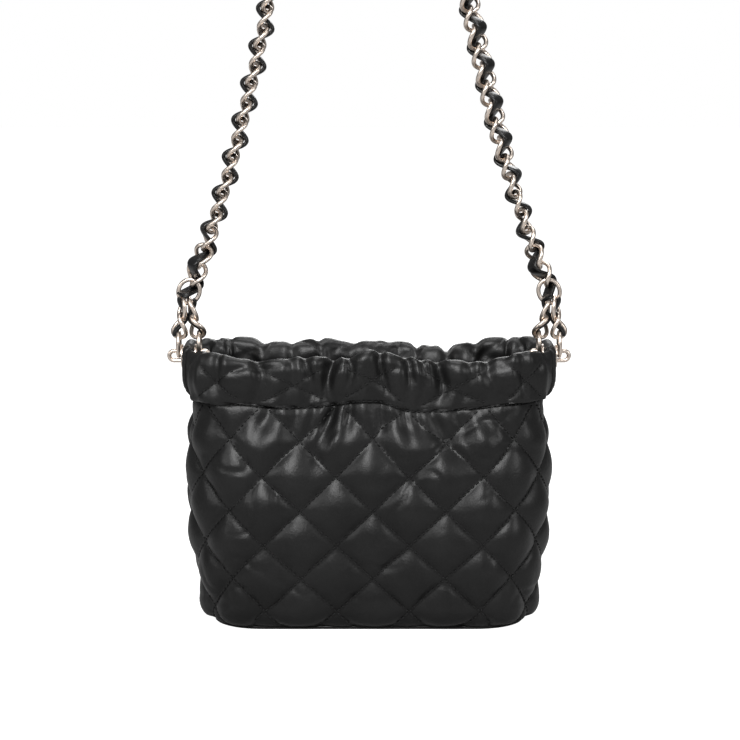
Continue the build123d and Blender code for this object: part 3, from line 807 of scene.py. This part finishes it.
SLOPE_LOW = rise(JUNCTION_Z)
SLOPE_TOP = math.sinh(math.asinh(CATENARY_SLOPE) + (CATENARY_W - SHOULDER_HALF) / CATENARY_A)
SIDE_LENGTH = CATENARY_A * (SLOPE_TOP - SLOPE_LOW)
SHOULDER_TILT = math.atan(1 / SLOPE_TOP)
SHOULDER_R = SHOULDER_HALF / math.cos(SHOULDER_TILT)
CATENARY_TOP_Z = CATENARY_Z + CATENARY_A * (math.hypot(1, SLOPE_TOP) - math.hypot(1, CATENARY_SLOPE))
SHOULDER_Z = CATENARY_TOP_Z - SHOULDER_R * math.sin(SHOULDER_TILT)
STRAP_LENGTH = 2 * SIDE_LENGTH + SHOULDER_R * (math.pi - 2 * SHOULDER_TILT)
PITCH = STRAP_LENGTH / LINKS_OVER
LINK_L = PITCH + WIRE_D + LINK_PLAY

# Angle of the links' width round the strap's line where it starts, in degrees, and its twists: how much
# each turns it, and from where to where along the strap.
START_TURN = -40
TWISTS = [(-50, 0, 45), (-40, 40, 100), (40, 200, 340), (-50, STRAP_LENGTH - 50, STRAP_LENGTH - 5)]


def strap_point(s):
    """Point and direction on the strap's line, s after the right junction."""
    if s > STRAP_LENGTH / 2:
        point, along = strap_point(STRAP_LENGTH - s)
        return Vector((-point.x, 0, point.z)), Vector((along.x, 0, -along.z))
    if s > SIDE_LENGTH:
        angle = SHOULDER_TILT + (s - SIDE_LENGTH) / SHOULDER_R
        point = Vector((SHOULDER_R * math.cos(angle), 0, SHOULDER_Z + SHOULDER_R * math.sin(angle)))
        return point, Vector((-math.sin(angle), 0, math.cos(angle)))
    slope = SLOPE_LOW + s / CATENARY_A
    x = CATENARY_W - CATENARY_A * (math.asinh(slope) - math.asinh(CATENARY_SLOPE))
    z = CATENARY_Z + CATENARY_A * (math.hypot(1, slope) - math.hypot(1, CATENARY_SLOPE))
    return Vector((x, 0, z)), Vector((-1, 0, slope)).normalized()


def strap_turn(s):
    """Angle of the links' width round the strap's line, in degrees."""
    return START_TURN + sum(twist * float(ease(s, start, end)) for twist, start, end in TWISTS)


def lace_section(width):
    """Outline of a flat lace with domed faces and rounded edges."""
    section = []
    for k in range(LACE_SIDES):
        turn = 2 * math.pi * k / LACE_SIDES
        across, thick = math.cos(turn), math.sin(turn)
        across = math.copysign(abs(across) ** 0.55, across)
        thick = math.copysign(abs(thick) ** 0.8, thick)
        section.append((across * width / 2, thick * LACE_T / 2))
    return section


def lace_mesh(point_at, turn_at, wave_at, start, end, width=LACE_W):
    """Flat lace along a woven line."""
    count = max(8, int((end - start) / PITCH * LACE_STEPS))
    section = lace_section(width)

    def centre(s):
        point, along = point_at(s)
        across = Vector((0, 1, 0)).cross(along)
        turn = math.radians(turn_at(s))
        face = across * -math.sin(turn) + Vector((0, math.cos(turn), 0))
        wide = across * math.cos(turn) + Vector((0, math.sin(turn), 0))
        return point + face * wave_at(s), wide

    points = []
    for i in range(count + 1):
        s = start + (end - start) * i / count
        middle, wide = centre(s)
        heading = (centre(s + 0.05)[0] - centre(s - 0.05)[0]).normalized()
        wide = (wide - heading * wide.dot(heading)).normalized()
        thick = heading.cross(wide)
        points += [middle + wide * a + thick * b for a, b in section]
    return points, tube_faces(count + 1, len(section))


def strap_wave(s):
    """Distance of the lace from the strap's line."""
    return LACE_WAVE * math.sin(math.pi * s / PITCH)


def make_strap_laces():
    """The lace of both strands, in lengths cut between the folds' places, one fold's place in each."""
    between = [(a + b) / 2 + 0.5 for a, b in zip(FOLD_AFTER_LINK, FOLD_AFTER_LINK[1:])]
    cuts = [LACE_START, *between, LINKS_OVER / 2]
    names = ["low", "lower", "middle", "upper"]
    nodes = {
        "right": [["right_lace_lower"], ["right_lace_middle"], ["right_lace_upper"], ["shoulder_lace"]],
        "left": [["left_lace_lower"], ["left_lace_middle"], ["left_lace_upper"], []],
    }
    for side in ("right", "left"):
        for i, name in enumerate(names):
            start, end = cuts[i] * PITCH, cuts[i + 1] * PITCH
            if side == "left":
                start, end = STRAP_LENGTH - end, STRAP_LENGTH - start
            points, faces = lace_mesh(strap_point, strap_turn, strap_wave, start, end)
            piece = make_object(f"{side}_strap_lace_{name}", points, faces, LACE_LEATHER,
                                body=None, replaces=nodes[side][i])
            fold = strap_point((FOLD_AFTER_LINK[i] + 0.5) * PITCH)[0]
            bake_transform(piece)


def end_lace(x_foot, splay, way):
    """Lace in one of the two strands that go from the right-hand eyelet to the junction."""
    point, along = strap_point(0)
    across = Vector((0, 1, 0)).cross(along)
    clearance = WIRE_D + LINK_GAP
    top = point - along * (LINK_L / 2) + across * splay + along * (clearance + LINK_GAP)
    foot = Vector((x_foot, 0, EYELET_Z + EYELET_LINK_W / 2 - clearance))
    foot.z += LINK_L - clearance - LINK_GAP
    heading = (top - foot).normalized()
    pitch = (top - foot).length - LINK_L
    first = LINK_L / 2
    return lace_mesh(
        lambda s: (foot + heading * s, heading),
        lambda s: END_LACE_TURN,
        lambda s: way * END_LACE_WAVE * math.sin(math.pi * (s - first) / pitch),
        first - pitch * END_LACE_PAST,
        first + pitch * (1 + END_LACE_PAST),
        LACE_W * END_LACE_NARROW,
    )


def make_end_laces():
    """The lace in the doubled chain at each rim corner, outside and inside the mouth."""
    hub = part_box("right_eyelet")
    reach = FLANGE_GAP + WIRE_D / 2
    outer_x, inner_x = hub[1].x / MM + reach, hub[0].x / MM - reach
    for side in ("right", "left"):
        for name, x_foot, splay, way in (("outer", outer_x, SPLAY, 1), ("inner", inner_x, -SPLAY, -1)):
            points, faces = end_lace(x_foot, splay, way)
            points = np.array([tuple(p) for p in points])
            if side == "left":
                points = points * (-1, 1, 1)
                faces = [tuple(reversed(f)) for f in faces]
            nodes = [side + "_end_loop_lace"] if name == "outer" else []
            make_object(f"{side}_{name}_end_lace", points, faces, LACE_LEATHER,
                        body="strap_ends", replaces=nodes)


# ================================================================ assembly

def dress_cad_nodes():
    """Give each CAD node the material of its kind."""
    finishes = {
        "pale_metal": PALE_GOLD,
        "dark_metal": DARK_METAL,
        "zip_tape": TAPE,
        "lining_fabric": LINING,
        "board": BOARD,
        "padding": ELASTIC,
        "elastic": ELASTIC,
        "lace_leather": LACE_LEATHER,
        "quilted_leather": TRIM_LEATHER,
    }
    for part in frame["record"]["subparts"]:
        node = frame["nodes"][part["node"]]
        node.data.materials.clear()
        node.data.materials.append(finishes[part["material_slot"]])


def make_floor():
    """Pale paper floor, which the camera sees as plain white."""
    mesh = bpy.data.meshes.new("studio_floor")
    line = np.linspace(-FLOOR_HALF, FLOOR_HALF, FLOOR_CELLS + 1)
    points = [(x, y, 0.0) for y in line for x in line]
    wide = FLOOR_CELLS + 1
    corners = [j * wide + i for j in range(FLOOR_CELLS) for i in range(FLOOR_CELLS)]
    mesh.from_pydata(points, [], [(a, a + 1, a + wide + 1, a + wide) for a in corners])
    floor = bpy.data.objects.new("studio_floor", mesh)
    bpy.context.scene.collection.objects.link(floor)
    material, shader, add, link = new_material("studio_paper")
    place = add("ShaderNodeTexCoord")
    link(mottled(add, link, place, 8.0, (0.42, 0.42, 0.42), (0.45, 0.45, 0.45)), shader.inputs["Base Color"])
    rays = add("ShaderNodeLightPath")
    glow = add("ShaderNodeMapRange", **{"To Min": 0.0, "To Max": 1.0})
    link(rays.outputs["Is Camera Ray"], glow.inputs["Value"])
    link(glow.outputs["Result"], shader.inputs["Emission Strength"])
    shader.inputs["Roughness"].default_value = 0.9
    shader.inputs["Specular IOR Level"].default_value = 0.1
    shader.inputs["Emission Color"].default_value = (1, 1, 1, 1)
    mesh.materials.append(material)


def make_lights():
    """White surroundings, dimmer for what they light than for the camera, and soft square lamps."""
    world = bpy.data.worlds.new("studio")
    bpy.context.scene.world = world
    world.use_nodes = True
    nodes, link = world.node_tree.nodes, world.node_tree.links.new
    rays = nodes.new("ShaderNodeLightPath")
    strength = nodes.new("ShaderNodeMapRange")
    strength.inputs["To Min"].default_value = WORLD_LIGHT
    strength.inputs["To Max"].default_value = 1.0
    link(rays.outputs["Is Camera Ray"], strength.inputs["Value"])
    nodes["Background"].inputs["Color"].default_value = (1, 1, 1, 1)
    link(strength.outputs["Result"], nodes["Background"].inputs["Strength"])
    for name, place, power, size in LAMPS:
        data = bpy.data.lights.new(name, "AREA")
        data.shape = "SQUARE"
        data.size = size
        data.energy = power
        lamp = bpy.data.objects.new(name, data)
        lamp.location = place
        lamp.rotation_euler = (Vector(LAMP_TARGET) - Vector(place)).to_track_quat("-Z", "Y").to_euler()
        bpy.context.scene.collection.objects.link(lamp)


def make_camera():
    """Camera a little above the bag's middle, looking at its front."""
    data = bpy.data.cameras.new("camera")
    data.sensor_width = 36.0
    data.lens = data.sensor_width * CAMERA_DISTANCE / CAMERA_VIEW
    data.clip_start, data.clip_end = 0.01, 30.0
    camera = bpy.data.objects.new("camera", data)
    elevation = math.radians(CAMERA_ELEVATION)
    away = Vector((0, -math.cos(elevation), math.sin(elevation)))
    camera.location = Vector(CAMERA_TARGET) + away * CAMERA_DISTANCE
    camera.rotation_euler = (-away).to_track_quat("-Z", "Y").to_euler()
    bpy.context.scene.collection.objects.link(camera)
    bpy.context.scene.camera = camera
    bpy.context.scene.view_settings.view_transform = "Standard"


dress_cad_nodes()
make_panel("front_quilted_panel", True, ["front_quilted_leather", "front_padding"])
make_panel("back_quilted_panel", False, ["back_quilted_leather", "back_padding"])
make_rim("front_rim_roll", True, ["front_rim_tunnel"])
make_rim("back_rim_roll", False, ["back_rim_tunnel"])
make_stitching("front_stitching", True)
make_stitching("back_stitching", False)
make_lining("front_lining_cloth", True, "front_lining")
make_lining("back_lining_cloth", False, "back_lining")
make_elastic("front_drawn_elastic", True, "front_elastic")
make_elastic("back_drawn_elastic", False, "back_elastic")
make_base()
make_pocket()
make_tab("left_tab_patch", -1, "left_side_tab")
make_tab("right_tab_patch", 1, "right_side_tab")
make_strap_laces()
make_end_laces()
make_floor()
make_lights()
make_camera()
